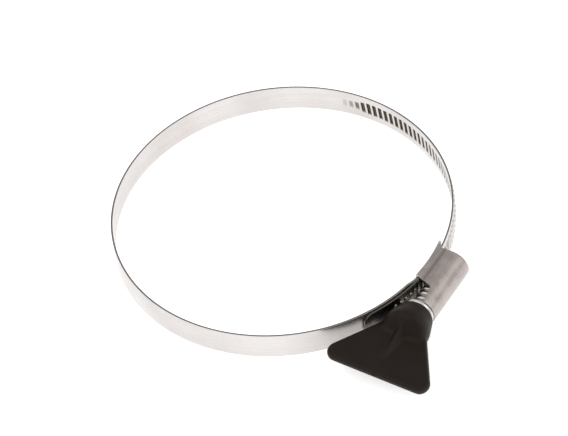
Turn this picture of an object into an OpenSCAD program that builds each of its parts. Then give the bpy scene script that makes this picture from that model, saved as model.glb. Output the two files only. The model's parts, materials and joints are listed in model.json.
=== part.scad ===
// Worm-drive hose clamp with a plastic wing handle.
// Origin on the hose axis at the middle of the band, +Z along the hose, housing on +X,
// screw axis parallel to Y with the handle towards -Y.

/* [Band] */
// Inside radius of the clamp where the hose sits
bore_r = 50.8; // [40:0.1:90]
// Width of the band
band_w = 9; // [7.5:0.1:14]
// Thickness of the band
band_t = 0.6; // [0.5:0.05:0.9]
// Length of loose band beyond the worm, measured along the hose
tail_len = 28.4; // [20:0.1:40]
// Length of plain band at the tip of the tail, before the threads start
plain_tip = 9; // [4:0.5:12]

/* [Thread] */
// Number of threads from the middle of the worm to the last one
all_teeth = 43; // [42:1:49]
// Spacing of the threads pressed into the band, and the worm's lead
thread_pitch = 2.12; // [1.7:0.01:2.6]
// Height of the pressed threads over the band
ridge_h = 0.4; // [0.3:0.05:0.5]
// Width of a pressed thread along the band
ridge_w = 0.8; // [0.6:0.05:1]
// Length of a pressed thread across the band
ridge_len = 4.4; // [3:0.1:5.5]

/* [Worm screw] */
// Outside radius of the worm's thread
worm_r = 3.4; // [2.8:0.05:4.2]
// Depth of the worm's thread
worm_depth = 0.6; // [0.5:0.05:0.7]
// Width of the worm's thread at its crest
worm_crest = 0.6; // [0.4:0.05:0.7]
// How much thinner the neck is than the worm's core, as a radius
neck_step = 0.5; // [0.3:0.1:0.8]
// How far the flange under the handle stands out past the worm's thread
flange_over = 1.5; // [1.2:0.1:1.6]
// Thickness of the flange
flange_t = 1.1; // [0.6:0.1:1.5]
// Width across the flats of the hexagon head
hex_af = 7; // [5:0.5:8]
// Length of the hexagon head
hex_len = 9; // [6:0.5:12]

/* [Housing] */
// Thickness of the housing sheet
sheet_t = 0.6; // [0.5:0.05:0.9]
// Thickness of the saddle under the band
saddle_t = 0.5; // [0.4:0.05:0.8]
// Length of the flanks along the screw
flank_len = 15; // [12:0.5:18]
// How much shorter the flanks are at the saddle than at the roof, at the handle end
flank_slant = 2.2; // [0:0.1:3]
// Length of the whole roof along the screw
roof_len = 21; // [18:0.5:26]
// How far the far end of the housing is past the middle of the screw's reach
far_end = 6.5; // [5:0.5:9]
// Length of the rounded tongue beyond the far end
tongue_len = 3; // [2.5:0.5:5]
// Radius of the tongue's corners
tongue_corner_r = 1.8; // [0.5:0.1:2.4]
// Height of the tongue's turned-up sides over the hose
tongue_rise = 1.5; // [1:0.1:2.5]
// Height of the roof's free edge over the worm axis beside the window
window_rise = 1.2; // [0.5:0.1:2]

/* [Handle] */
// Distance over the wing's two corners
wing_w = 33.6; // [28:0.1:40]
// Length of the handle along the screw
wing_len = 26.8; // [22:0.1:34]
// Thickness of the wing
wing_t = 2.8; // [2:0.1:4]
// Radius of the wing's rounded corners
wing_corner_r = 3.2; // [2:0.1:5]
// Largest radius of the handle's collar
collar_r = 7.3; // [6.5:0.1:7.6]
// Length of the handle's round collar
collar_len = 7.8; // [5.5:0.1:9]
// Turn of the wing about the screw in the drawn position
wing_turn = 2; // [0:1:180]

/* [Clearances] */
// Between the saddle and the fixed end of the band
seat_gap = 0.02; // [0:0.01:0.1]
// Between the fixed end and the threaded band that slides over it
slide_gap = 0.08; // [0.04:0.01:0.2]
// Between the worm's crest and the band
worm_gap = 0.1; // [0.05:0.01:0.2]
// Between the band's edges and the housing flanks
side_gap = 0.1; // [0.05:0.01:0.3]
// Between the screw's neck and flange and the housing
neck_gap = 0.1; // [0.05:0.01:0.2]
// Between two neighbouring lengths of the flexible band
length_gap = 0.3; // [0.2:0.05:0.5]
// Between the collar and the pressed threads under it
collar_gap = 0.25; // [0.1:0.05:0.5]

/* [Hidden] */
$fn = 96;
tiny = 0.02;             // overlap where two bodies of one piece are joined
ends_past = 1;           // how far a cutter reaches past what it cuts

// Layers of the band under the housing, as radii
inner_mid = bore_r + band_t / 2;
fixed_r = bore_r + saddle_t + seat_gap;
threaded_r = fixed_r + band_t + slide_gap;
layer_step = threaded_r - bore_r;
band_top_r = threaded_r + band_t;
ridge_top_r = band_top_r + ridge_h;
mesh_r = band_top_r + ridge_h / 2;

// The loop between the two layers is one half circle, centred half a step off the origin
loop_r = bore_r + layer_step / 2;
loop_shift = layer_step / 2;

// Angles around the hose
function arc_deg(length, r) = 180 * length / (PI * r);
function polar(r, a) = r * [cos(a), sin(a)];
tooth_deg = arc_deg(thread_pitch, mesh_r);
stiff_teeth = 25;        // threads from the worm to the end of the stiff threaded end
stiff_deg = stiff_teeth * tooth_deg;
loop_tooth_deg = tooth_deg * mesh_r / (mesh_r - loop_shift);
teeth_per_length = 8;
threaded_lengths = 3;    // flexible lengths that carry threads, each a whole number of pitches long
loop_lengths = 10;       // flexible lengths on the half circle
all_lengths = 16;
faded_teeth = 5;         // the last threads get shallower
pocket_w = 0.6 * ridge_w;            // hollow behind a pressed thread
pocket_len = ridge_len - 0.4;
root_len = 14.5;         // from the middle of the worm to where the flexible band starts
root_deg = -arc_deg(root_len, bore_r);
tail_deg = -arc_deg(tail_len, threaded_r);
tail_bevel = 2.6;        // side of the square that cuts the tail's corners off
tail_teeth = floor((-tail_deg - arc_deg(plain_tip, threaded_r)) / tooth_deg);
pitched_end = stiff_deg + threaded_lengths * teeth_per_length * loop_tooth_deg;

// Where flexible length i starts, as an angle
function plain_start(i) =
    i <= loop_lengths
        ? pitched_end + (stiff_deg + 180 - pitched_end)
            * (i - threaded_lengths) / (loop_lengths - threaded_lengths)
        : stiff_deg + 180 + (180 + root_deg - stiff_deg)
            * (i - loop_lengths) / (all_lengths - loop_lengths);
function start_deg(i) =
    i <= threaded_lengths
        ? stiff_deg + i * teeth_per_length * loop_tooth_deg
        : plain_start(i);

// Worm screw, along Y
worm_x = band_top_r + worm_gap + worm_r;
core_r = worm_r - worm_depth;
neck_r = core_r - neck_step;
flange_r = worm_r + flange_over;
near_end = far_end - roof_len;
flank_end = far_end - flank_len;
lip_t = sheet_t;
shoulder_y = near_end + lip_t + neck_gap;
flange_y = near_end - neck_gap;
head_y = flange_y - flange_t;
thread_flank = 0.4;      // how much wider each side of the thread is at its buried foot
thread_sink = 0.5;       // how deep the thread's foot is buried in the core
fade_depth = 0.1;        // how far the thread's two ends sink under the core's face
end_step = 0.6;          // from the far end of the housing to the far end of the worm
thread_margin = 0.8;     // plain core beyond each end of the thread
worm_far_y = far_end - end_step;
thread_slope = atan(thread_pitch / (2 * PI * worm_r));

// Housing
roof_clearance = 0.4;    // least space between the worm and the roof
roof_r = max(band_w / 2 + side_gap, worm_r + roof_clearance);
roof_out_r = roof_r + sheet_t;
fold_r = roof_out_r - band_w / 2;   // outside of the bend between the saddle and a flank
lug_w = 3;
lug_len = 2;
lug_gap = 0.06;
lug_places = [-3.6, 2.4];
joggle_start = flank_end + flank_slant - 1;
joggle_len = 3.6;
joggle_top_deg = arc_deg(joggle_start, fixed_r);
joggle_foot_deg = joggle_top_deg - arc_deg(joggle_len, bore_r);
fixed_steps = 48;        // facets along the fixed end
fixed_far_y = far_end - 1;
window_x = worm_x + window_rise;

// Handle
rim_y = head_y - 0.1;
tip_y = rim_y - wing_len;
socket_gap = 0.04;
hex_turn = 30;           // turn of the hexagon against the wing
wing_root_y = rim_y - 5.4;
wing_root_w = 12;        // at most, where the band leaves room
clear_steps = 4;
collar_end_y = rim_y - collar_len;
slope_len = 4.6;         // slope from the collar down onto the wing
slope_r = 6;
slope_flat = 0.3;        // height of the slope's foot as a share of its width
ridge_rise = 0.9;
ridge_start = 2;         // from the root of the wing to the ridge's thick end
ridge_stop = 5;          // from the ridge's thin end to the wing's edge
bell_steps = 8;

// A strip r0..r1 thick and w wide, bent around Z from angle a0 to a1
module bent_strip(r0, r1, a0, a1, w) {
    rotate([0, 0, a0])
        rotate_extrude(angle = a1 - a0, $fn = 180)
            translate([r0, -w / 2])
                square([r1 - r0, w]);
}

// A box across the band at angle a, from radius r0 to r1, leaning with the thread
module cross_box(a, r0, r1, along, across, lean) {
    rotate([0, 0, a])
        translate([(r0 + r1) / 2, 0, 0])
            rotate([lean, 0, 0])
                cube([r1 - r0, along, across], center = true);
}

// Height of thread number k, which fades out at the far end of the thread
function thread_height(k, last) = ridge_h * min(1, (last - k) / faded_teeth);

// Threads numbered k0 to k1 pressed into children(), which start at radius r
module pressed_thread(r, pitch_deg, k0, k1, first_deg, last) {
    difference() {
        union() {
            children();
            for (k = [k0 : k1])
                cross_box(first_deg + (k - k0 + 0.5) * pitch_deg, r + band_t / 2,
                    r + band_t + thread_height(k, last), ridge_w, ridge_len, -thread_slope);
        }
        for (k = [k0 : k1])
            cross_box(first_deg + (k - k0 + 0.5) * pitch_deg, r - ends_past,
                r + thread_height(k, last), pocket_w, pocket_len, -thread_slope);
    }
}

// One flexible length of the loop
module band_length(i) {
    on_loop = i < loop_lengths;
    inner_r = on_loop ? loop_r : bore_r;
    half_gap = arc_deg(length_gap / 2, inner_r);
    color("gainsboro")
        translate(on_loop ? loop_shift * [cos(stiff_deg), sin(stiff_deg), 0] : [0, 0, 0])
            if (i < threaded_lengths) {
                k0 = stiff_teeth + i * teeth_per_length;
                k1 = min(k0 + teeth_per_length, all_teeth) - 1;
                pressed_thread(inner_r, loop_tooth_deg, k0, k1, start_deg(i), all_teeth)
                    bent_strip(inner_r, inner_r + band_t,
                        start_deg(i) + half_gap, start_deg(i + 1) - half_gap, band_w);
            } else
                bent_strip(inner_r, inner_r + band_t,
                    start_deg(i) + half_gap, start_deg(i + 1) - half_gap, band_w);
}

// The stiff stretch from the tail tip, over the fixed end and through the housing
module band_threaded_end() {
    half_gap = arc_deg(length_gap / 2, threaded_r);
    color("gainsboro")
        difference() {
            pressed_thread(threaded_r, tooth_deg, -tail_teeth, stiff_teeth - 1,
                    -tail_teeth * tooth_deg, all_teeth)
                bent_strip(threaded_r, band_top_r, tail_deg, stiff_deg - half_gap, band_w);
            for (side = [-1, 1])
                rotate([0, 0, tail_deg])
                    translate([threaded_r, 0, side * band_w / 2])
                        rotate([45, 0, 0])
                            cube([4 * band_t, tail_bevel, tail_bevel], center = true);
        }
}

// Radius of the fixed end's inner face at angle a: on the saddle, down the joggle, on the hose
function fixed_inner_r(a) =
    let (f = (joggle_top_deg - a) / (joggle_top_deg - joggle_foot_deg))
    f <= 0 ? fixed_r
        : f >= 1 ? bore_r
        : fixed_r - (fixed_r - bore_r) * (1 - cos(180 * f)) / 2;

// The end of the band that lies on the saddle and steps down to the hose
module band_fixed_end() {
    a_far = arc_deg(fixed_far_y, fixed_r);
    a_near = root_deg + arc_deg(length_gap / 2, bore_r);
    angles = [for (k = [0 : fixed_steps]) a_far + (a_near - a_far) * k / fixed_steps];
    back = [for (k = [fixed_steps : -1 : 0]) angles[k]];
    inner = [for (a = angles) polar(fixed_inner_r(a), a)];
    outer = [for (a = back) polar(fixed_inner_r(a) + band_t, a)];
    color("gainsboro")
        difference() {
            linear_extrude(band_w, center = true)
                polygon(concat(inner, outer));
            for (y = lug_places)
                cross_box(arc_deg(y, fixed_r), bore_r, threaded_r + ends_past,
                    lug_len + 2 * lug_gap, lug_w + 2 * lug_gap, 0);
        }
}

// A round roof of radius r over walls that reach down to foot_x, seen along the screw
module arch(r, foot_x) {
    translate([worm_x, 0])
        intersection() {
            circle(r);
            translate([max(0, foot_x - worm_x), -r])
                square([r, 2 * r]);
        }
    if (foot_x < worm_x)
        translate([foot_x, -r])
            square([worm_x - foot_x, 2 * r]);
}

// Sweeps a section drawn in X and Z along the screw from y0 to y1
module along_screw(y0, y1) {
    translate([0, y1, 0])
        rotate([90, 0, 0])
            linear_extrude(y1 - y0)
                children();
}

// Outline of the tongue seen from the hose, from y = 0
module tongue_outline() {
    half = roof_out_r - tongue_corner_r;
    translate([-roof_out_r, -ends_past])
        square([2 * roof_out_r, tongue_len - tongue_corner_r + ends_past]);
    translate([-half, -ends_past])
        square([2 * half, tongue_len + ends_past]);
    for (side = [-1, 1])
        translate([side * half, tongue_len - tongue_corner_r])
            circle(tongue_corner_r, $fn = 48);
}

// Ring outside the rounded folds where the saddle turns up into the flanks
module fold_cutter() {
    for (side = [0, 1])
        mirror([0, 0, side])
            rotate_extrude($fn = 180)
                difference() {
                    translate([bore_r - roof_out_r, band_w / 2])
                        square([roof_out_r + fold_r, roof_out_r]);
                    translate([bore_r + fold_r, band_w / 2])
                        circle(fold_r, $fn = 48);
                    translate([bore_r + fold_r, 0])
                        square([roof_out_r, 2 * roof_out_r]);
                }
}

module housing() {
    foot_x = bore_r - roof_out_r;
    tall = 4 * roof_out_r;
    color("rosybrown") {
        difference() {
            union() {
                along_screw(flank_end, far_end)
                    arch(roof_out_r, foot_x);
                // roof over the window, out to the handle
                along_screw(near_end, flank_end + ends_past)
                    arch(roof_out_r, window_x);
                // tongue beyond the far end, with a rounded tip and low sides
                intersection() {
                    cylinder(r = bore_r + tongue_rise, h = tall, center = true, $fn = 180);
                    translate([foot_x, far_end, 0])
                        rotate([0, 90, 0])
                            linear_extrude(roof_out_r + ends_past)
                                tongue_outline();
                }
            }
            cylinder(r = bore_r, h = tall, center = true, $fn = 180);
            fold_cutter();
            // space for the band and the worm, down to the saddle
            difference() {
                along_screw(near_end + lip_t, far_end + tongue_len + ends_past)
                    arch(roof_r, foot_x);
                cylinder(r = bore_r + saddle_t, h = tall, center = true, $fn = 180);
            }
            // slanted end of the flanks and the saddle beside the window
            translate([0, 0, -roof_out_r - ends_past])
                linear_extrude(2 * (roof_out_r + ends_past))
                    polygon([[foot_x, flank_end - ends_past], [window_x, flank_end - ends_past],
                        [window_x, flank_end], [bore_r, flank_end + flank_slant],
                        [foot_x, flank_end + flank_slant]]);
            // hole in the lip for the screw's neck
            along_screw(near_end - ends_past, near_end + lip_t + ends_past)
                translate([worm_x, 0])
                    circle(neck_r + neck_gap);
        }
        // lugs of the saddle that lock the fixed end of the band
        for (y = lug_places)
            cross_box(arc_deg(y, fixed_r), bore_r + saddle_t / 2,
                fixed_r + band_t - tiny, lug_len, lug_w, 0);
    }
}

// Thread of the worm: a ridge swept round the core, sinking into it at both ends
module worm_thread(y0, y1) {
    per_turn = 20;
    turns = (y1 - y0) / thread_pitch;
    steps = floor(turns * per_turn);
    inside = core_r - thread_sink;
    foot = worm_crest / 2 + thread_flank;
    function rise(k) = min(1, k / (per_turn / 2), (steps - k) / (per_turn / 2));
    function at(k, r, dy) =
        let (y = y0 + k * thread_pitch / per_turn, t = 180 + 360 * y / thread_pitch)
        [r * cos(t), r * sin(t), y + dy];
    points = [for (k = [0 : steps])
        let (top = core_r - fade_depth + (worm_depth + fade_depth) * rise(k)) each [
        at(k, inside, -foot), at(k, top, -worm_crest / 2),
        at(k, top, worm_crest / 2), at(k, inside, foot)]];
    sides = [for (k = [0 : steps - 1], j = [0 : 3])
        let (a = 4 * k + j, b = 4 * k + (j + 1) % 4) each
        [[a, b, a + 4], [b, b + 4, a + 4]]];
    far_face = [for (j = [0 : 3]) 4 * steps + j];
    polyhedron(points, concat([[3, 2, 1, 0]], sides, [far_face]), convexity = 10);
}

module worm_screw() {
    color("silver")
        translate([worm_x, 0, 0])
            rotate([-90, 0, 0]) {
                translate([0, 0, shoulder_y])
                    cylinder(r = core_r, h = worm_far_y - shoulder_y);
                worm_thread(shoulder_y + thread_margin, worm_far_y - thread_margin);
                translate([0, 0, flange_y - tiny])
                    cylinder(r = neck_r, h = shoulder_y - flange_y + 2 * tiny);
                translate([0, 0, head_y])
                    cylinder(r = flange_r, h = flange_t);
                translate([0, 0, head_y - hex_len])
                    rotate([0, 0, hex_turn + wing_turn])
                        cylinder(d = hex_af / cos(30), h = hex_len + tiny, $fn = 6);
            }
}

// Room between the screw axis and the threads below it, at a distance y along the screw
function room_at(y) = worm_x - collar_gap - sqrt(pow(ridge_top_r, 2) - pow(y, 2));
function collar_at(y) = min(collar_r, room_at(y));

// Half width of the wing at its root, so that its straight edge stays clear of the tail
function root_half() =
    let (tail_y = band_top_r * sin(tail_deg), edge_len = wing_root_y - tip_y - wing_corner_r)
    min([wing_root_w / 2, for (k = [0 : clear_steps])
        let (y = wing_root_y + (tail_y - wing_root_y) * k / clear_steps,
            share = (wing_root_y - y) / edge_len)
        (room_at(y) - share * wing_w / 2) / (1 - share)]);

module wing_handle() {
    bell = [for (k = [0 : bell_steps]) let (y = rim_y - collar_len * k / bell_steps)
        [collar_at(y), y]];
    color([0.18, 0.16, 0.15])
        translate([worm_x, 0, 0])
            rotate([0, wing_turn, 0])
                difference() {
                    union() {
                        // collar over the screw head
                        rotate([-90, 0, 0])
                            rotate_extrude()
                                polygon(concat([[0, collar_end_y], [0, rim_y]], bell));
                        // slope from the collar onto the wing
                        hull($fn = 32) {
                            translate([0, collar_end_y + tiny, 0])
                                rotate([90, 0, 0])
                                    cylinder(r = collar_at(collar_end_y) - tiny, h = tiny);
                            translate([0, collar_end_y - slope_len, 0])
                                rotate([90, 0, 0])
                                    scale([1, slope_flat, 1])
                                        cylinder(r = slope_r, h = 1);
                        }
                        // wing
                        translate([0, 0, -wing_t / 2])
                            hull($fn = 32) {
                                translate([-root_half(), wing_root_y, 0])
                                    cube([2 * root_half(), 1, wing_t]);
                                for (side = [-1, 1])
                                    translate([side * (wing_w / 2 - wing_corner_r),
                                            tip_y + wing_corner_r, 0])
                                        cylinder(r = wing_corner_r, h = wing_t);
                            }
                        // stiffening ridge along the middle of both faces
                        hull($fn = 32) {
                            translate([0, wing_root_y - ridge_start, 0])
                                rotate([90, 0, 0])
                                    cylinder(r = wing_t / 2 + ridge_rise, h = 1);
                            translate([0, tip_y + ridge_stop, 0])
                                sphere(r = wing_t / 2);
                        }
                    }
                    // socket for the hexagon head
                    rotate([-90, 0, 0])
                        translate([0, 0, head_y - hex_len - socket_gap])
                            rotate([0, 0, hex_turn])
                                cylinder(d = (hex_af + 2 * socket_gap) / cos(30),
                                    h = hex_len + ends_past, $fn = 6);
                }
}

band_fixed_end();
band_threaded_end();
band_length(0);  // band_length_01
band_length(1);  // band_length_02
band_length(2);  // band_length_03
band_length(3);  // band_length_04
band_length(4);  // band_length_05
band_length(5);  // band_length_06
band_length(6);  // band_length_07
band_length(7);  // band_length_08
band_length(8);  // band_length_09
band_length(9);  // band_length_10
band_length(10);  // band_length_11
band_length(11);  // band_length_12
band_length(12);  // band_length_13
band_length(13);  // band_length_14
band_length(14);  // band_length_15
band_length(15);  // band_length_16
housing();
worm_screw();
wing_handle();
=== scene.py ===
import json
import math

import bmesh
import bpy
from mathutils import Matrix, Vector


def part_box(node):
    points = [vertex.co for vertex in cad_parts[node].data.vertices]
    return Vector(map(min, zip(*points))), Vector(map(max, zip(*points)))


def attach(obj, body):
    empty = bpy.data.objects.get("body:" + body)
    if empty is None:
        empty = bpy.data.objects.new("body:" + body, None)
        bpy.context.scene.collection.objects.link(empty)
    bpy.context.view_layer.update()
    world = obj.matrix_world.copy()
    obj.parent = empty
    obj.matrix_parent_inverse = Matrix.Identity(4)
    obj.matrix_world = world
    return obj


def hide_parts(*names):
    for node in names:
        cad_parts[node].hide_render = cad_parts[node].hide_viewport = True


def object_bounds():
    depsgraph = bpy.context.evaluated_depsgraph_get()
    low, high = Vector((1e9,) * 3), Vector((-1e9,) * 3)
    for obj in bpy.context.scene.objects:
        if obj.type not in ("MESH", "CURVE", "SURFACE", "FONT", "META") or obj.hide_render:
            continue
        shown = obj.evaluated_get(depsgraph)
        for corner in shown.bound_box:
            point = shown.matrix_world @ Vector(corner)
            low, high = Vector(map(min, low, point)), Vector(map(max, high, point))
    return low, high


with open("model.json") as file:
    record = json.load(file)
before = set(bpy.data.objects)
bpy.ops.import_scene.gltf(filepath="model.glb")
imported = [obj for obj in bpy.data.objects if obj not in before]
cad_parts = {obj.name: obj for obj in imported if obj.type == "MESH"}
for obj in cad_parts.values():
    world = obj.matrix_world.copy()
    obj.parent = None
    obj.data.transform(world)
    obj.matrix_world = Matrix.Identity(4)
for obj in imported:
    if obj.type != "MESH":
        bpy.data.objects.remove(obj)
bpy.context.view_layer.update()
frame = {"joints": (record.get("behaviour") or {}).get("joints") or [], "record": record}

# ---------------------------------------------------------------- sizes, in millimetres
MM = 0.001


def cad_box(node):
    """Lowest and highest corner of a CAD node, in millimetres."""
    low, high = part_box(node)
    return low / MM, high / MM


def record_mount(name):
    return next(m for m in frame["record"]["mounts"] if m["name"] == name)


def record_joint(name):
    return next(j for j in frame["joints"] if j["name"] == name)


BORE = record_mount("hose_bore")["dims"]
BORE_R = BORE["r_mm"]
BAND_W = BORE["length_mm"]
BAND_T = 0.6
SADDLE_T = 0.5
SHEET_T = 0.6
SEAT_GAP = 0.02            # between the saddle and the fixed end of the band
SLIDE_GAP = 0.08           # between the fixed end and the threaded band over it
NECK_GAP = 0.1             # between the screw and the housing's lip
EDGE_R = 0.14              # rounding of the strip's slit edges

FIXED_R = BORE_R + SADDLE_T + SEAT_GAP
THREADED_R = FIXED_R + BAND_T + SLIDE_GAP
LAYER_STEP = THREADED_R - BORE_R
LOOP_R = BORE_R + LAYER_STEP / 2
LOOP_SHIFT = LAYER_STEP / 2

PITCH = 2.12
RIDGE_H = 0.4
RIDGE_W = 0.8
RIDGE_LEN = 4.4
RIDGE_SLOPE = 0.24         # length of the slope down a thread's side
RIDGE_END = 0.3            # length of the slope down a thread's two ends
POCKET_W = 1.4             # width of the hollow behind a thread
POCKET_SLOPE = 0.14        # length of the slope down a pocket's side
PRESS_EDGE = 0.12          # how far inside a thread's or pocket's width its slope starts
MESH_R = THREADED_R + BAND_T + RIDGE_H / 2
STIFF_TEETH = 25
TEETH_PER_LENGTH = 8
THREADED_LENGTHS = 3
LOOP_LENGTHS = 10
ALL_LENGTHS = 16
LAST_THREAD = 43
FADED_TEETH = 5            # the last threads get lower and shorter
SHORTEST_THREAD = 0.25     # length of a thread that has faded out, as a share
TAIL_LEN = 28.4
TAIL_BEVEL = 1.84          # how far the cut corners of the tail reach along and across it
PLAIN_TIP = 9.0            # length of the tail's tip without threads
ROOT_LEN = 14.5            # from the middle of the worm to where the flexible band starts

WORM_X = record_joint("screw_turn")["pos_m"][0] / MM
WORM_R = 3.4
WORM_DEPTH = 0.6
CORE_R = WORM_R - WORM_DEPTH
NECK_R = CORE_R - 0.5
FLANGE_T = 1.1
HEX_AF = 7.0
WING_TURN = 2.0            # turn of the wing and the hexagon about the screw, in degrees
THREAD_SLOPE = math.atan(PITCH / (2 * math.pi * WORM_R))

housing_low, housing_high = cad_box("housing")
screw_low, screw_high = cad_box("worm_screw")
wing_low, wing_high = cad_box("wing_handle")
ROOF_R = housing_high.z                     # outside radius of the roof
NEAR_END = housing_low.y                    # roof's end at the handle
FAR_END = 6.5                               # roof's other end
FLANK_END = -8.5                            # flanks' end at the handle, beside the roof
FLANK_SLANT = 2.2                           # how much shorter the flanks are at the saddle
SADDLE_END = FLANK_END + FLANK_SLANT
TONGUE_END = housing_high.y
TONGUE_CORNER = 1.8
TONGUE_RISE = 1.5                           # height of the tongue's turned-up sides
WINDOW_RISE = 1.2                           # height of the roof's free edge over the worm's axis


def arc_deg(length, radius):
    return math.degrees(length / radius)


TOOTH = arc_deg(PITCH, MESH_R)
STIFF = STIFF_TEETH * TOOTH
LOOP_TOOTH = TOOTH * MESH_R / (MESH_R - LOOP_SHIFT)
ROOT = -arc_deg(ROOT_LEN, BORE_R)
TAIL = -arc_deg(TAIL_LEN, THREADED_R)
THREADS_END = STIFF + THREADED_LENGTHS * TEETH_PER_LENGTH * LOOP_TOOTH
LAST_THREAD_DEG = STIFF + (LAST_THREAD - STIFF_TEETH) * LOOP_TOOTH


def length_start(i):
    """Angle at which flexible length i of the band starts, as in the CAD."""
    if i <= THREADED_LENGTHS:
        return STIFF + i * TEETH_PER_LENGTH * LOOP_TOOTH
    if i <= LOOP_LENGTHS:
        share = (i - THREADED_LENGTHS) / (LOOP_LENGTHS - THREADED_LENGTHS)
        return THREADS_END + (STIFF + 180 - THREADS_END) * share
    share = (i - LOOP_LENGTHS) / (ALL_LENGTHS - LOOP_LENGTHS)
    return STIFF + 180 + (180 + ROOT - STIFF) * share


# ---------------------------------------------------------------- small helpers
def lerp(a, b, t):
    return a + (b - a) * t


def smooth(t):
    t = min(1.0, max(0.0, t))
    return t * t * (3 - 2 * t)


def plateau(d, half, soft):
    """1 inside half, 0 outside half + soft, smooth between."""
    return 1 - smooth((abs(d) - half) / soft)


def polar(r, deg, z=0.0):
    a = math.radians(deg)
    return Vector((r * math.cos(a), r * math.sin(a), z))


def spaced(low, high, step):
    """Evenly spaced values from low to high, about step apart."""
    n = max(1, round(abs(high - low) / step))
    return [lerp(low, high, k / n) for k in range(n + 1)]


def make_piece(name, points, faces, body, nodes, material, paint, sharp_deg=35):
    """A smooth-shaded mesh from points in millimetres. It rides on a body and stands for CAD nodes.
    paint maps an attribute's name to one number a point, or to one vector a point for the flow."""
    mesh = bpy.data.meshes.new(name)
    mesh.from_pydata([Vector(p) * MM for p in points], [], faces)
    for key, values in paint.items():
        kind = "FLOAT_VECTOR" if key == "flow" else "FLOAT"
        layer = mesh.attributes.new(key, kind, "POINT")
        if kind == "FLOAT":
            layer.data.foreach_set("value", values)
        else:
            layer.data.foreach_set("vector", [c for v in values for c in v])
    shape = bmesh.new()
    shape.from_mesh(mesh)
    bmesh.ops.remove_doubles(shape, verts=shape.verts, dist=1e-7)
    bmesh.ops.recalc_face_normals(shape, faces=shape.faces)
    for face in shape.faces:
        face.smooth = True
    for edge in shape.edges:
        if len(edge.link_faces) == 2 and edge.calc_face_angle(0) > math.radians(sharp_deg):
            edge.smooth = False
    shape.to_mesh(mesh)
    shape.free()
    piece = bpy.data.objects.new(name, mesh)
    bpy.context.scene.collection.objects.link(piece)
    mesh.materials.append(material)
    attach(piece, body)
    if nodes:
        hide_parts(*nodes)
    return piece


def tube_faces(rings, sides):
    """Quads of an open tube of points stored ring by ring."""
    faces = []
    for first in range(0, (rings - 1) * sides, sides):
        for j in range(sides):
            k = (j + 1) % sides
            faces.append((first + j, first + k, first + sides + k, first + sides + j))
    return faces


def closed_tube_faces(rings, sides):
    """Quads of a tube and a face over each of its ends."""
    last = (rings - 1) * sides
    ends = [tuple(range(sides)), tuple(last + j for j in range(sides))[::-1]]
    return tube_faces(rings, sides) + ends


# ---------------------------------------------------------------- materials
def new_material(name):
    material = bpy.data.materials.new(name)
    material.use_nodes = True
    nodes, links = material.node_tree.nodes, material.node_tree.links
    return material, nodes, links, nodes["Principled BSDF"]


def add_node(nodes, kind, **values):
    node = nodes.new(kind)
    for key, value in values.items():
        if key in node.inputs:
            node.inputs[key].default_value = value
        else:
            setattr(node, key, value)
    return node


def mix_colors(nodes, links, factor, a, b):
    """Colour a where factor is 0 and b where it is 1. Each is a colour or a socket."""
    mix = nodes.new("ShaderNodeMix")
    mix.data_type = "RGBA"
    for socket, value in ((mix.inputs["Factor"], factor), (mix.inputs[6], a), (mix.inputs[7], b)):
        if isinstance(value, bpy.types.NodeSocket):
            links.new(value, socket)
        else:
            socket.default_value = value
    return mix.outputs[2]


def ramp(nodes, links, value, low, high, out_low=0.0, out_high=1.0):
    """Value between low and high mapped to out_low..out_high, and clamped."""
    node = nodes.new("ShaderNodeMapRange")
    for key, number in (("From Min", low), ("From Max", high),
                        ("To Min", out_low), ("To Max", out_high)):
        node.inputs[key].default_value = number
    links.new(value, node.inputs["Value"])
    return node.outputs["Result"]


def noise(nodes, links, vector, scale, detail=3.0, stretch=None):
    """Noise over a vector, stretched by a factor on each axis."""
    if stretch:
        mapping = nodes.new("ShaderNodeMapping")
        mapping.inputs["Scale"].default_value = stretch
        links.new(vector, mapping.inputs["Vector"])
        vector = mapping.outputs["Vector"]
    node = add_node(nodes, "ShaderNodeTexNoise", Scale=scale, Detail=detail)
    links.new(vector, node.inputs["Vector"])
    return node.outputs["Fac"]


def bump(nodes, links, shader, height, distance, strength):
    node = add_node(nodes, "ShaderNodeBump", Distance=distance, Strength=strength)
    links.new(height, node.inputs["Height"])
    links.new(node.outputs["Normal"], shader.inputs["Normal"])


def attribute(nodes, name, output="Fac"):
    node = add_node(nodes, "ShaderNodeAttribute", attribute_name=name)
    return node.outputs[output]


def steel_band():
    """Bright rolled strip: long fine streaks, faint warm stains, darker slit edges, and painted shade in the
    pockets behind the threads and on the tail's outside.
    """
    material, nodes, links, shader = new_material("band_steel")
    flow = attribute(nodes, "flow", "Vector")
    place = nodes.new("ShaderNodeTexCoord").outputs["Object"]
    streaks = noise(nodes, links, flow, 1.0, 4.0, stretch=(0.05, 9.0, 1.0))
    cloud = noise(nodes, links, place, 55.0, 4.0)
    stain = noise(nodes, links, place, 34.0, 2.0)
    clean = mix_colors(nodes, links, ramp(nodes, links, cloud, 0.35, 0.65),
                       (0.60, 0.572, 0.555, 1), (0.67, 0.643, 0.628, 1))
    brushed = mix_colors(nodes, links, ramp(nodes, links, streaks, 0.3, 0.7, 0.0, 0.35),
                         clean, (0.46, 0.44, 0.43, 1))
    tinted = mix_colors(nodes, links, ramp(nodes, links, stain, 0.56, 0.72, 0.0, 0.35),
                        brushed, (0.62, 0.51, 0.45, 1))
    edged = mix_colors(nodes, links, ramp(nodes, links, attribute(nodes, "edge"), 0.2, 0.9, 0.0, 0.85),
                       tinted, (0.15, 0.14, 0.13, 1))
    # painted shade: the pockets behind the threads and the tail's outside
    pocket_and_tail_shaded = mix_colors(nodes, links, attribute(nodes, "recess"), edged, (0.075, 0.06, 0.042, 1))
    links.new(pocket_and_tail_shaded, shader.inputs["Base Color"])
    shader.inputs["Metallic"].default_value = 1.0
    links.new(ramp(nodes, links, streaks, 0.3, 0.7, 0.24, 0.36), shader.inputs["Roughness"])
    bump(nodes, links, shader, streaks, 0.00002, 0.5)
    return material


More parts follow.
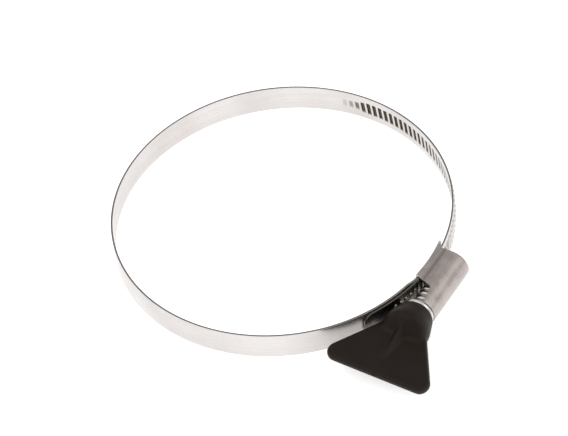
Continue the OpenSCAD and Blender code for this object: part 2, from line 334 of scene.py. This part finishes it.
def steel_housing():
    """Dull plated sheet: blotchy grey-brown with drawing marks along the screw, and painted shade along the
    crease.
    """
    material, nodes, links, shader = new_material("housing_steel")
    place = nodes.new("ShaderNodeTexCoord").outputs["Object"]
    blotch = noise(nodes, links, place, 320.0, 4.0)
    drawn = noise(nodes, links, place, 1.0, 3.0, stretch=(1500.0, 120.0, 1500.0))
    speck = noise(nodes, links, place, 1500.0, 2.0)
    base = mix_colors(nodes, links, ramp(nodes, links, blotch, 0.35, 0.65),
                      (0.35, 0.300, 0.280, 1), (0.46, 0.405, 0.385, 1))
    marked = mix_colors(nodes, links, ramp(nodes, links, drawn, 0.35, 0.7, 0.0, 0.4),
                        base, (0.30, 0.26, 0.24, 1))
    pitted = mix_colors(nodes, links, ramp(nodes, links, speck, 0.62, 0.75, 0.0, 0.5),
                        marked, (0.17, 0.15, 0.135, 1))
    # painted shade along the soft crease between flank and roof
    crease_shaded = mix_colors(nodes, links, ramp(nodes, links, attribute(nodes, "crease"), 0.0, 1.0, 0.0, 0.6),
                         pitted, (0.15, 0.13, 0.12, 1))
    cut = mix_colors(nodes, links, attribute(nodes, "edge"), crease_shaded, (0.72, 0.69, 0.67, 1))
    links.new(cut, shader.inputs["Base Color"])
    shader.inputs["Metallic"].default_value = 1.0
    links.new(ramp(nodes, links, blotch, 0.3, 0.7, 0.34, 0.50), shader.inputs["Roughness"])
    shader.inputs["Coat Weight"].default_value = 0.85
    shader.inputs["Coat Roughness"].default_value = 0.22
    bump(nodes, links, shader, drawn, 0.00003, 0.5)
    return material


def steel_screw():
    """Bright plated steel, turned round the screw's axis, with painted shade in the roots of its thread."""
    material, nodes, links, shader = new_material("screw_steel")
    place = nodes.new("ShaderNodeTexCoord").outputs["Object"]
    turned = noise(nodes, links, place, 1.0, 2.0, stretch=(60.0, 2600.0, 60.0))
    grime_and_shade = noise(nodes, links, place, 500.0, 3.0)
    base = mix_colors(nodes, links, ramp(nodes, links, turned, 0.3, 0.7),
                      (0.62, 0.60, 0.57, 1), (0.78, 0.76, 0.73, 1))
    grimy = mix_colors(nodes, links, ramp(nodes, links, grime_and_shade, 0.5, 0.7, 0.0, 0.4),
                       base, (0.25, 0.22, 0.19, 1))
    # painted shade in the roots of the thread
    root_shaded = mix_colors(nodes, links, attribute(nodes, "recess"), grimy, (0.10, 0.09, 0.08, 1))
    links.new(root_shaded, shader.inputs["Base Color"])
    shader.inputs["Metallic"].default_value = 1.0
    links.new(ramp(nodes, links, grime_and_shade, 0.3, 0.7, 0.22, 0.36), shader.inputs["Roughness"])
    bump(nodes, links, shader, turned, 0.00002, 0.4)
    return material


def black_plastic():
    """Satin moulded plastic with a fine spark-eroded grain and a painted highlight along the wing's rounded
    edges.
    """
    material, nodes, links, shader = new_material("handle_plastic")
    place = nodes.new("ShaderNodeTexCoord").outputs["Object"]
    grain = noise(nodes, links, place, 2600.0, 2.0)
    cloud = noise(nodes, links, place, 160.0, 4.0)
    base = mix_colors(nodes, links, ramp(nodes, links, cloud, 0.3, 0.7),
                      (0.0105, 0.0056, 0.0034, 1), (0.0160, 0.0092, 0.0062, 1))
    # painted highlight along the wing's rounded edges
    edge_lit = mix_colors(nodes, links, ramp(nodes, links, attribute(nodes, "edge"), 0.0, 1.0, 0.0, 0.5),
                      base, (0.021, 0.0155, 0.012, 1))
    links.new(edge_lit, shader.inputs["Base Color"])
    links.new(ramp(nodes, links, cloud, 0.3, 0.7, 0.42, 0.55), shader.inputs["Roughness"])
    shader.inputs["Specular IOR Level"].default_value = 0.17
    bump(nodes, links, shader, grain, 0.00004, 0.35)
    return material


BAND = steel_band()
HOUSING = steel_housing()
SCREW = steel_screw()
PLASTIC = black_plastic()

# ---------------------------------------------------------------- band
HALF_W = BAND_W / 2
CORNER_STEPS = 3
COLUMN_STEP = 0.9          # degrees between the cross lines of the strip
THREAD_OFFSETS = (0.0, 0.28, 0.40, 0.52, 0.58, 0.72)   # more cross lines, from a thread's middle
TAIL_SHADE = 0.8           # how dark the painted shade on the tail's outside gets
TAIL_SHADE_START = 4.0          # degrees from the worm to where the painted shade on the tail starts
TAIL_SHADE_SPAN = 8.0           # degrees over which it does


def across_stations():
    """Places across the strip from one edge to the other, close together round the threads' ends."""
    flat = HALF_W - EDGE_R
    ridge = RIDGE_LEN / 2
    half = [0.0, 0.8, 1.6, ridge - 0.3, ridge - 0.15, ridge, ridge + 0.15, 3.0, 3.7, flat]
    return [-z for z in reversed(half[1:])] + half


def edge_arc(side):
    """Rounded slit edge: (depth below the outer face, place across) from outer to inner face."""
    points = []
    for k in range(1, CORNER_STEPS):
        a = math.pi / 2 * k / CORNER_STEPS
        points.append((EDGE_R * (1 - math.cos(a)), side * (HALF_W - EDGE_R + EDGE_R * math.sin(a))))
    points.append((EDGE_R, side * HALF_W))
    inner = [(BAND_T - d, z) for d, z in points]
    return points + inner[::-1]


def strip_section():
    """Closed outline of the strip as (depth below the outer face, place across)."""
    flat = across_stations()
    outer = [(0.0, z) for z in flat]
    inner = [(BAND_T, z) for z in reversed(flat)]
    return outer + edge_arc(1) + inner + edge_arc(-1)[::-1]


def tooth_profile(d, inside):
    """Height of a pressed thread, as a share, at a distance d along the band from its middle.
    The pocket on the inside is wider than the ridge on the outside."""
    if inside:
        return plateau(d, POCKET_W / 2 - PRESS_EDGE, POCKET_SLOPE)
    return plateau(d, RIDGE_W / 2 - PRESS_EDGE, RIDGE_SLOPE)


def strip(name, body, nodes, centre, inner_radius, start, stop, teeth=(), pitch_deg=TOOTH,
          first_deg=0.0, lean=None, tail=None):
    """A stretch of band from angle start to stop. inner_radius(angle) is its inner face.
    teeth are the numbers of the pressed threads in it; the first one starts at first_deg.
    lean(angle) is how much its cross lines lean with the thread. tail is the angle of a loose end."""
    section = strip_section()
    angles = set(round(a, 4) for a in spaced(start, stop, COLUMN_STEP))
    middles = {}
    for n, k in enumerate(teeth):
        middle = first_deg + (n + 0.5) * pitch_deg
        middles[k] = middle
        for off in THREAD_OFFSETS:
            for side in (-1, 1):
                angles.add(round(middle + arc_deg(side * off, MESH_R), 4))
    columns = sorted(a for a in angles if start - 1e-6 <= a <= stop + 1e-6)
    if abs(columns[0] - start) > 1e-4:
        columns.insert(0, start)
    if abs(columns[-1] - stop) > 1e-4:
        columns.append(stop)
    lean = lean or (lambda a: 0.0)
    points, edge, recess, flow = [], [], [], []
    for a in columns:
        near = min(middles, key=lambda k: abs(middles[k] - a), default=None)
        fade, along = 0.0, 0.0
        if near is not None:
            along = math.radians(a - middles[near]) * MESH_R
            fade = min(1.0, (LAST_THREAD - near) / FADED_TEETH)
        half, grime_and_shade = HALF_W, 0.0
        if tail is not None:
            past = math.radians(a - tail) * THREADED_R
            half = min(HALF_W, HALF_W - TAIL_BEVEL + past)
            # painted shade over the tail's outside, deepening away from the worm
            grime_and_shade = TAIL_SHADE * smooth((-a - TAIL_SHADE_START) / TAIL_SHADE_SPAN)
        length = RIDGE_LEN * lerp(SHORTEST_THREAD, 1.0, fade)
        for depth, z in section:
            on_inside = depth > BAND_T * 0.9
            height = plateau(z, (length - RIDGE_END) / 2, RIDGE_END) * tooth_profile(along, on_inside) * fade
            # the pocket behind a thread is as deep as the thread is high
            r = inner_radius(a) + BAND_T - depth + RIDGE_H * height
            angle = a + math.degrees(math.tan(THREAD_SLOPE) * z / MESH_R) * lean(a)
            points.append(centre + polar(r, angle, z * half / HALF_W))
            edge.append(1.0 if EDGE_R * 0.2 < depth < BAND_T - EDGE_R * 0.2 else 0.0)
            # inside: painted shade in the pocket behind each thread; outside: the tail's painted shade
            recess.append(min(1.0, height * 1.4) if on_inside else grime_and_shade)
            flow.append((math.radians(a) * MESH_R, z, depth))
    n = len(section)
    faces = tube_faces(len(columns), n)
    faces.append(tuple(range(n))[::-1])
    faces.append(tuple((len(columns) - 1) * n + k for k in range(n)))
    return make_piece(name, points, faces, body, nodes, BAND,
                      {"edge": edge, "recess": recess, "flow": flow})


def strip_lean(low_fade, high_fade):
    """How much the strip's cross lines lean with the thread: none before low_fade or after high_fade."""
    return lambda a: smooth((a - low_fade) / 2.0) * (1 - smooth((a - high_fade) / 2.0))


ORIGIN = Vector((0, 0, 0))
LOOP_CENTRE = polar(LOOP_SHIFT, STIFF)
JOGGLE_LEN = 3.6           # length of the step from the saddle down to the hose
JOGGLE_TOP = arc_deg(SADDLE_END - 1.0, FIXED_R)
JOGGLE_FOOT = JOGGLE_TOP - arc_deg(JOGGLE_LEN, BORE_R)


def fixed_inner_r(a):
    """Inner face of the fixed end: on the saddle, down the joggle, then on the hose."""
    down = min(1.0, max(0.0, (JOGGLE_TOP - a) / (JOGGLE_TOP - JOGGLE_FOOT)))
    return lerp(FIXED_R, BORE_R, (1 - math.cos(math.pi * down)) / 2)


def build_band():
    full_lean = strip_lean(TAIL + 1.0, LAST_THREAD_DEG)
    tail_teeth = int((-TAIL - arc_deg(PLAIN_TIP, THREADED_R)) / TOOTH)
    strip("band_threaded_strip", "threaded_end", ["band_threaded_end"], ORIGIN,
          lambda a: THREADED_R, TAIL, STIFF, range(-tail_teeth, STIFF_TEETH), TOOTH,
          -tail_teeth * TOOTH, full_lean, tail=TAIL)
    strip("band_fixed_strip", "clamp", ["band_fixed_end"], ORIGIN,
          fixed_inner_r, ROOT, arc_deg(FAR_END - 1, FIXED_R))
    for i in range(ALL_LENGTHS):
        node = f"band_length_{i + 1:02d}"
        on_loop = i < LOOP_LENGTHS
        radius = LOOP_R if on_loop else BORE_R
        teeth = ()
        if i < THREADED_LENGTHS:
            first = STIFF_TEETH + i * TEETH_PER_LENGTH
            teeth = range(first, min(first + TEETH_PER_LENGTH, LAST_THREAD))
        strip(node.replace("length", "strip"), node, [node], LOOP_CENTRE if on_loop else ORIGIN,
              lambda a, r=radius: r, length_start(i), length_start(i + 1), teeth, LOOP_TOOTH,
              length_start(i), full_lean)


build_band()

# ---------------------------------------------------------------- housing
FOLD_R = ROOF_R - HALF_W          # outside of the fold between saddle and flank
CREASE_X = WORM_X - 2.4           # where the flat flank starts to bend into the roof
CREASE_DEPTH = 0.13
CREASE_SOFT = 0.75                # how far the crease fades out to each side
WINDOW_CORNER = 0.7
CUT_EASE = 0.07                   # rounding of the sheet's cut ends


def housing_profile():
    """Stations round the housing's section, from the saddle's middle over the roof and back.
    Each is (kind, value, side): a place across the saddle, an angle in a fold, a share up a flank
    or a roof angle."""
    half = [("saddle", z) for z in spaced(0.0, HALF_W, 0.3)]
    half += [("fold", a) for a in spaced(0.0, 90.0, 18.0)[1:]]
    half += [("flank", s) for s in spaced(0.0, 1.0, 1 / 15)[1:]]
    half += [("roof", a) for a in spaced(0.0, 90.0, 4.5)[1:]]
    other = [(kind, value, -1) for kind, value in reversed(half[1:-1])]
    return [(kind, value, 1) for kind, value in half] + other


def window_edge(x):
    """Where the sheet ends towards the handle, as a function of its place x up the flank or roof."""
    top = WORM_X + WINDOW_RISE
    slanted = FLANK_END + FLANK_SLANT * min(1.0, max(0.0, (top - x) / (top - BORE_R)))
    return lerp(slanted, NEAR_END, smooth((x - top + WINDOW_CORNER) / (2 * WINDOW_CORNER)))


def tongue_edge(z):
    """Where the tongue ends, at a place z across it."""
    corner = max(0.0, abs(z) - (ROOF_R - TONGUE_CORNER))
    return TONGUE_END - TONGUE_CORNER + math.sqrt(max(0.0, TONGUE_CORNER ** 2 - corner ** 2))


def far_edge(z, rise):
    """Where the sheet ends at the far end: the tongue's outline low down, the flank's end above."""
    low = 1 - smooth(rise - (TONGUE_RISE - 0.5))
    return lerp(FAR_END, tongue_edge(z), low)


def housing_point(kind, value, side, share, sink):
    """A point of the sheet. share runs from the handle end to the far end, sink is the depth
    below the outside."""
    if kind == "saddle":
        y = lerp(SADDLE_END, tongue_edge(value), share)
        r = BORE_R + sink
        return Vector((math.sqrt(r ** 2 - y ** 2), y, side * value))
    if kind == "fold":
        a = math.radians(value)
        r = FOLD_R - sink
        across = HALF_W + r * math.sin(a)
        y = lerp(SADDLE_END, far_edge(HALF_W + FOLD_R * math.sin(a), FOLD_R * (1 - math.cos(a))), share)
        foot = math.sqrt(BORE_R ** 2 - y ** 2)
        return Vector((foot + FOLD_R - r * math.cos(a), y, side * across))
    if kind == "flank":
        rise = lerp(FOLD_R, WORM_X - BORE_R, value)
        foot_y = lerp(SADDLE_END, far_edge(ROOF_R, rise), share)
        foot = math.sqrt(BORE_R ** 2 - foot_y ** 2)
        x = lerp(foot + FOLD_R, WORM_X, value)
        y = lerp(window_edge(x), far_edge(ROOF_R, rise), share)
        dent = CREASE_DEPTH * plateau(x - CREASE_X, 0.05, CREASE_SOFT)
        return Vector((x, y, side * (ROOF_R - sink - dent)))
    a = math.radians(value)
    r = ROOF_R - sink
    x = WORM_X + r * math.sin(a)
    y = lerp(window_edge(WORM_X + ROOF_R * math.sin(a)), FAR_END, share)
    return Vector((x, y, side * r * math.cos(a)))


def build_housing():
    stations = housing_profile()
    shares = [0.0, 0.006, 0.02] + spaced(0.06, 0.94, 0.055) + [0.98, 0.994, 1.0]
    points, crease, edge = [], [], []
    for inside in (False, True):
        for share in shares:
            rim = min(share, 1 - share)
            ease = CUT_EASE * (1 - smooth(rim / 0.012))
            for kind, value, side in stations:
                thickness = SADDLE_T if kind == "saddle" else SHEET_T
                p = housing_point(kind, value, side, share, thickness - ease if inside else ease)
                points.append(p)
                # mask for the painted shade along the crease
                crease.append(plateau(p.x - CREASE_X, 0.15, CREASE_SOFT) if kind == "flank" else 0.0)
                edge.append(1.0 if rim < 1e-6 else 0.0)
    rows, n = len(shares), len(stations)
    under = rows * n           # from a point of the outside to the one under it on the inside
    outside = tube_faces(rows, n)
    faces = outside + [tuple(i + under for i in face) for face in outside]
    for first in (0, (rows - 1) * n):
        for j in range(n):
            a, b = first + j, first + (j + 1) % n
            faces.append((a, b, b + under, a + under))
    make_piece("housing_shell", points, faces, "clamp", ["housing"], HOUSING,
               {"crease": crease, "edge": edge})


def build_lip():
    """Wall across the roof's end with the hole for the screw's neck."""
    lip_r = ROOF_R - SHEET_T + 0.05          # sunk a little into the roof
    hole_r = NECK_R + NECK_GAP
    low = math.degrees(math.asin(WINDOW_RISE / lip_r))
    angles = spaced(low, 180 - low, 6)
    points, faces = [], []
    for y in (NEAR_END + 0.02, NEAR_END + SHEET_T):
        for r, lowest in ((lip_r, 0.0), (hole_r, WINDOW_RISE)):
            for a in angles:
                rad = math.radians(a)
                x = max(r * math.sin(rad), lowest)
                points.append((WORM_X + x, y, r * math.cos(rad)))
    n = len(angles)
    front_out, front_in, back_out, back_in = (range(k * n, (k + 1) * n) for k in range(4))
    for j in range(n - 1):
        faces.append((front_out[j], front_out[j + 1], front_in[j + 1], front_in[j]))
        faces.append((back_out[j], back_in[j], back_in[j + 1], back_out[j + 1]))
        faces.append((front_in[j], front_in[j + 1], back_in[j + 1], back_in[j]))
        faces.append((front_out[j], back_out[j], back_out[j + 1], front_out[j + 1]))
    for j in (0, n - 1):
        faces.append((front_out[j], front_in[j], back_in[j], back_out[j]))
    blank = [0.0] * len(points)
    make_piece("housing_lip", points, faces, "clamp", [], HOUSING,
               {"crease": blank, "edge": blank})


build_housing()
build_lip()

# ---------------------------------------------------------------- screw
HEAD_Y = NEAR_END - NECK_GAP - FLANGE_T
WORM_NEAR = NEAR_END + SHEET_T + NECK_GAP
WORM_FAR = screw_high.y
FLANGE_R = (screw_high.z - screw_low.z) / 2
FLANGE_RIM = 0.28          # rounding of the flange's rim
THREAD_CREST = 0.26        # half width of the thread's crest
THREAD_FLANK = 0.34        # width of each of its flanks
THREAD_MARGIN = 0.4        # plain core beyond each end of the thread
THREAD_GROWTH = 0.9        # length over which the thread rises at each end
CHAMFER = 0.35             # how much thinner the worm is at its two ends
CHAMFER_LEN = 0.4


def worm_radius(y, turn_deg):
    """Radius of the worm at a place along it and an angle round it, and how near that is to the
    crest of its right-hand thread."""
    phase = y / PITCH + (turn_deg + 180) / 360
    off = (phase - round(phase)) * PITCH
    margin = min(y - (WORM_NEAR + THREAD_MARGIN), (WORM_FAR - THREAD_MARGIN) - y)
    grown = smooth(margin / THREAD_GROWTH)
    crest = 1 - smooth((abs(off) - THREAD_CREST) / THREAD_FLANK)
    end = min(y - WORM_NEAR, WORM_FAR - y)
    chamfer = CHAMFER * (1 - smooth(end / CHAMFER_LEN))
    return CORE_R + WORM_DEPTH * crest * grown - chamfer, crest * grown


def turned(stations, sides, turn_deg=0.0):
    """Points of a turned body from (y, radius) stations round the screw's axis."""
    points = []
    for y, radius in stations:
        for j in range(sides):
            a = math.radians(360 * j / sides + turn_deg)
            points.append((WORM_X + radius * math.cos(a), y, radius * math.sin(a)))
    return points


def build_worm():
    sides = 56
    ys = spaced(WORM_NEAR, WORM_FAR, 0.12)
    points, recess = [], []
    for y in ys:
        for j in range(sides):
            a = 360 * j / sides
            r, crest = worm_radius(y, a)
            rad = math.radians(a)
            points.append((WORM_X + r * math.cos(rad), y, r * math.sin(rad)))
            # painted shade, darkest in the thread's roots
            recess.append(0.75 * (1 - crest))
    make_piece("worm_thread", points, closed_tube_faces(len(ys), sides), "screw",
               ["worm_screw"], SCREW, {"recess": recess}, sharp_deg=50)


def build_flange():
    """Neck and flange with a rounded rim."""
    sides = 64
    quarter = [math.pi / 2 * k / 4 for k in range(5)]
    rim = [(FLANGE_RIM * (1 - math.cos(a)), FLANGE_R - FLANGE_RIM + FLANGE_RIM * math.sin(a))
           for a in quarter]
    stations = [(WORM_NEAR + 0.05, NECK_R - 0.1), (WORM_NEAR + 0.05, NECK_R), (HEAD_Y + FLANGE_T, NECK_R)]
    stations += [(HEAD_Y + FLANGE_T - depth, radius) for depth, radius in rim]
    stations += [(HEAD_Y + depth, radius) for depth, radius in reversed(rim)]
    stations.append((HEAD_Y, 0.5))
    points = turned(stations, sides)
    make_piece("screw_flange", points, closed_tube_faces(len(stations), sides), "screw", [],
               SCREW, {"recess": [0.0] * len(points)})


def build_hexagon():
    """Hexagon head inside the handle, with chamfered corners at its end."""
    end = screw_low.y
    chamfer = 0.6
    corner = HEX_AF / 2 / math.cos(math.radians(30))
    stations = [(HEAD_Y + 0.1, corner), (end + chamfer, corner), (end, corner - chamfer)]
    points = turned(stations, 6, 30.0 + WING_TURN)
    make_piece("screw_hexagon", points, closed_tube_faces(len(stations), 6), "screw", [],
               SCREW, {"recess": [0.0] * len(points)}, sharp_deg=20)


# ---------------------------------------------------------------- handle
RIM_Y = HEAD_Y - 0.1       # the collar's open end
ROOT_Y = RIM_Y - 5.4       # where the wing leaves the collar
TIP_Y = wing_low.y
WING_HALF = (wing_high.x - wing_low.x) / 2
PLATE = 1.4                # half thickness of the wing
CORNER = 3.2
COLLAR_R = 7.3
COLLAR_GAP = 0.25
RIDGE_TOP_R = THREADED_R + BAND_T + RIDGE_H
ROOT_HALF = 6.0            # half width where the straight edges of the wing leave the collar
BARREL = 1.2               # how far the round collar reaches past the wing's root
SHOULDER = 6.4             # length of the collar's slope down to the wing
RIDGE_REACH = 0.92         # share of the wing that the ridge runs down
RIDGE_TALL = COLLAR_R - PLATE - 1.2    # height of the ridge over the plate at the collar
RIDGE_FALL = 2.6           # power by which that height falls towards the tip
RIDGE_LOW = 0.75           # height of the low ridge that runs on under it
EDGE_ROUND = 1.1           # rounding of the plate's edges
BLEND_SHARP = 3.0          # how sharply one curve gives way to another
SOCKET_GAP = 0.1
SOCKET_DEPTH = 9.2
NUB_R = 0.62
NUB_SHAPE = (1.0, 0.62, 0.8)           # the nub's size on each axis, as a share of a ball's


def soft_max(a, b):
    """About the larger of two numbers, with a smooth change from one to the other."""
    return math.log(math.exp(BLEND_SHARP * a) + math.exp(BLEND_SHARP * b)) / BLEND_SHARP


def collar_at(y):
    """Outside radius of the bell-shaped collar, which clears the band's threads at every turn."""
    clear = WORM_X - COLLAR_GAP - math.sqrt(RIDGE_TOP_R ** 2 - y ** 2)
    return -soft_max(-clear, -COLLAR_R)


def wing_edge(past):
    """Half width of the flat wing: straight edges that run tangent into the rounded corners."""
    middle = WING_HALF - CORNER
    length = ROOT_Y - TIP_Y - CORNER
    reach = math.hypot(middle - ROOT_HALF, length)
    lean = math.atan2(middle - ROOT_HALF, length) + math.asin(CORNER / reach)
    if past < length - CORNER * math.sin(lean):
        return ROOT_HALF + past * math.tan(lean)
    return middle + math.sqrt(max(0.0, CORNER ** 2 - (past - length) ** 2))


def wing_half(y):
    """Half width of the handle: the collar, then the wing with the collar's end blended in."""
    past = ROOT_Y - y
    if past <= 0:
        return collar_at(y)
    back = collar_at(y) * math.sqrt(max(0.0, 1 - max(0.0, (past - BARREL) / SHOULDER) ** 2))
    return lerp(collar_at(y), soft_max(wing_edge(past), back), smooth(past / 1.5))


def blend_max(a, b, soft):
    """The larger of two heights with a soft fillet between them."""
    d = abs(a - b)
    return max(a, b) + (max(0.0, soft - d) ** 2) / (4 * soft)


def handle_height(x, y, half):
    """Half thickness of the handle at a place on its mid plane."""
    if y >= ROOT_Y:
        return math.sqrt(max(0.0, half ** 2 - x ** 2))
    rim = math.sqrt(max(0.0, 1 - (1 - min(1.0, (half - abs(x)) / EDGE_ROUND)) ** 2))
    end = math.sqrt(max(0.0, 1 - (1 - min(1.0, (y - TIP_Y) / EDGE_ROUND)) ** 2))
    plate = PLATE * rim * end
    past = ROOT_Y - y
    radius = collar_at(y)
    barrel = math.sqrt(max(0.0, radius ** 2 - x ** 2)) * (1 - smooth((past - BARREL) / SHOULDER))
    along = past / ((ROOT_Y - TIP_Y) * RIDGE_REACH)
    tall = RIDGE_TALL * max(0.0, 1 - along) ** RIDGE_FALL
    tall += RIDGE_LOW * (1 - smooth((along - 0.75) / 0.25))
    ridge = plate + tall * rim * end * plateau(x, 0.2, lerp(1.9, 1.0, min(1.0, along)))
    soft = 1.4 * smooth(past / 2.0)
    return blend_max(ridge, barrel, soft) if barrel > 0 and soft > 0.01 else max(ridge, barrel)


def handle_rows():
    """Places along the handle from the rim to the tip, close together where it curves."""
    collar = spaced(RIM_Y, ROOT_Y, 0.45)
    wing = spaced(ROOT_Y - 0.25, TIP_Y + CORNER, 0.4)
    tip = [TIP_Y + CORNER * (1 - math.sin(math.pi / 2 * k / 12)) for k in range(1, 12)]
    return collar + wing + tip + [TIP_Y + 0.03]


def build_handle():
    around = 96
    turn = Matrix.Rotation(math.radians(WING_TURN), 3, "Y")
    axis = Vector((WORM_X, 0, 0))
    points, edge = [], []
    rows = handle_rows()
    for y in rows:
        half = wing_half(y)
        ease = 0.45 * (1 - smooth((RIM_Y - y) / 0.6))
        for j in range(around):
            t = 2 * math.pi * j / around
            x = half * math.cos(t)
            height = handle_height(x, y, half)
            z = math.copysign(height, math.sin(t)) if abs(math.sin(t)) > 1e-9 else 0.0
            p = Vector((x * (1 - ease / half), y, z * (1 - ease / half)))
            points.append(axis + turn @ p)
            # mask for the painted highlight on the wing's side edges
            edge.append(plateau(half - abs(x), 0.25, 0.6) if y < ROOT_Y - 3 else 0.0)
    faces = tube_faces(len(rows), around)
    last = (len(rows) - 1) * around
    faces.append(tuple(last + j for j in range(around))[::-1])
    # socket: a rim face and a blind hole that the screw's hexagon fills
    hole_r = HEX_AF / 2 + SOCKET_GAP
    first = len(points)
    for y in (RIM_Y, RIM_Y - SOCKET_DEPTH):
        for j in range(around):
            t = 2 * math.pi * j / around
            sector = (math.degrees(t) + 30.0) % 60.0 - 30.0
            r = hole_r / math.cos(math.radians(sector))
            points.append(axis + turn @ Vector((r * math.cos(t), y, r * math.sin(t))))
            edge.append(0.0)
    for j in range(around):
        k = (j + 1) % around
        faces.append((j, k, first + k, first + j))
        faces.append((first + j, first + k, first + around + k, first + around + j))
    faces.append(tuple(first + around + j for j in range(around)))
    make_piece("wing_handle_moulding", points, faces, "screw", ["wing_handle"], PLASTIC,
               {"edge": edge}, sharp_deg=55)


def build_nub():
    """Small moulding nub on the middle of the wing's end edge."""
    shape = bmesh.new()
    bmesh.ops.create_icosphere(shape, subdivisions=3, radius=NUB_R * MM)
    for v in shape.verts:
        v.co = [c * share for c, share in zip(v.co, NUB_SHAPE)]
        v.co.y += (TIP_Y + 0.12) * MM
    turn = Matrix.Rotation(math.radians(WING_TURN), 3, "Y")
    points = [turn @ (v.co / MM) + Vector((WORM_X, 0, 0)) for v in shape.verts]
    faces = [tuple(v.index for v in f.verts) for f in shape.faces]
    shape.free()
    # the nub is given part of the painted edge highlight
    make_piece("wing_handle_nub", points, faces, "screw", [], PLASTIC,
               {"edge": [0.4] * len(points)})


build_worm()
build_flange()
build_hexagon()
build_handle()
build_nub()

# ---------------------------------------------------------------- stage, light and camera
def build_floor():
    mesh = bpy.data.meshes.new("floor")
    half = 1.6
    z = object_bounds()[0].z - 0.00005           # just under the object
    mesh.from_pydata([(-half, -half, z), (half, -half, z), (half, half, z), (-half, half, z)],
                     [], [(0, 1, 2, 3)])
    floor = bpy.data.objects.new("floor", mesh)
    bpy.context.scene.collection.objects.link(floor)
    material, nodes, links, shader = new_material("floor_white")
    shader.inputs["Base Color"].default_value = (0.93, 0.93, 0.93, 1)
    shader.inputs["Emission Color"].default_value = (1.0, 1.0, 1.0, 1)
    shader.inputs["Emission Strength"].default_value = 0.6
    shader.inputs["Roughness"].default_value = 0.9
    shader.inputs["Specular IOR Level"].default_value = 0.0
    mesh.materials.append(material)


def build_world():
    world = bpy.data.worlds.new("studio")
    bpy.context.scene.world = world
    world.use_nodes = True
    background = world.node_tree.nodes["Background"]
    background.inputs["Color"].default_value = (1.0, 1.0, 1.0, 1)
    background.inputs["Strength"].default_value = 0.7


def area_light(name, place, size, power):
    """A round white light that points at the hose axis."""
    light = bpy.data.lights.new(name, "AREA")
    light.shape = "DISK"
    light.size = size
    light.energy = power
    lamp = bpy.data.objects.new(name, light)
    lamp.location = place
    lamp.rotation_mode = "QUATERNION"
    lamp.rotation_quaternion = (-Vector(place)).to_track_quat("-Z", "Y")
    bpy.context.scene.collection.objects.link(lamp)


CAMERA_ELEVATION = math.radians(46.35)
CAMERA_AZIMUTH = math.radians(36.15)      # from -Y, on the handle's side, towards +X
CAMERA_ROLL = math.radians(-8.0)
CAMERA_DISTANCE = 1.211
CAMERA_ASIDE = (0.00085, 0.0003)          # to the right and up
LENS_PER_WIDTH = 4000 / 568               # focal length as a share of the picture's width
SENSOR = 36.0


def build_camera():
    data = bpy.data.cameras.new("camera")
    camera = bpy.data.objects.new("camera", data)
    bpy.context.scene.collection.objects.link(camera)
    bpy.context.scene.camera = camera
    forward = Vector((0, math.cos(CAMERA_ELEVATION), -math.sin(CAMERA_ELEVATION)))
    right = Vector((1, 0, 0))
    up = Vector((0, math.sin(CAMERA_ELEVATION), math.cos(CAMERA_ELEVATION)))
    c, s = math.cos(CAMERA_ROLL), math.sin(CAMERA_ROLL)
    rolled_right = c * right + s * up
    rolled_up = -s * right + c * up
    turn = Matrix.Rotation(CAMERA_AZIMUTH, 3, "Z")
    place = -forward * CAMERA_DISTANCE + rolled_right * CAMERA_ASIDE[0] + rolled_up * CAMERA_ASIDE[1]
    axes = Matrix((rolled_right, rolled_up, -forward)).transposed()
    camera.matrix_world = Matrix.Translation(turn @ place) @ (turn @ axes).to_4x4()
    data.sensor_width = SENSOR
    data.lens = LENS_PER_WIDTH * SENSOR
    data.clip_start, data.clip_end = 0.01, 10.0


build_floor()
build_world()
area_light("key_light", (-0.35, -0.55, 0.9), size=0.9, power=2.2)
area_light("fill_light", (0.8, 0.3, 0.7), size=0.9, power=2.0)
build_camera()
bpy.context.scene.view_settings.view_transform = "Standard"
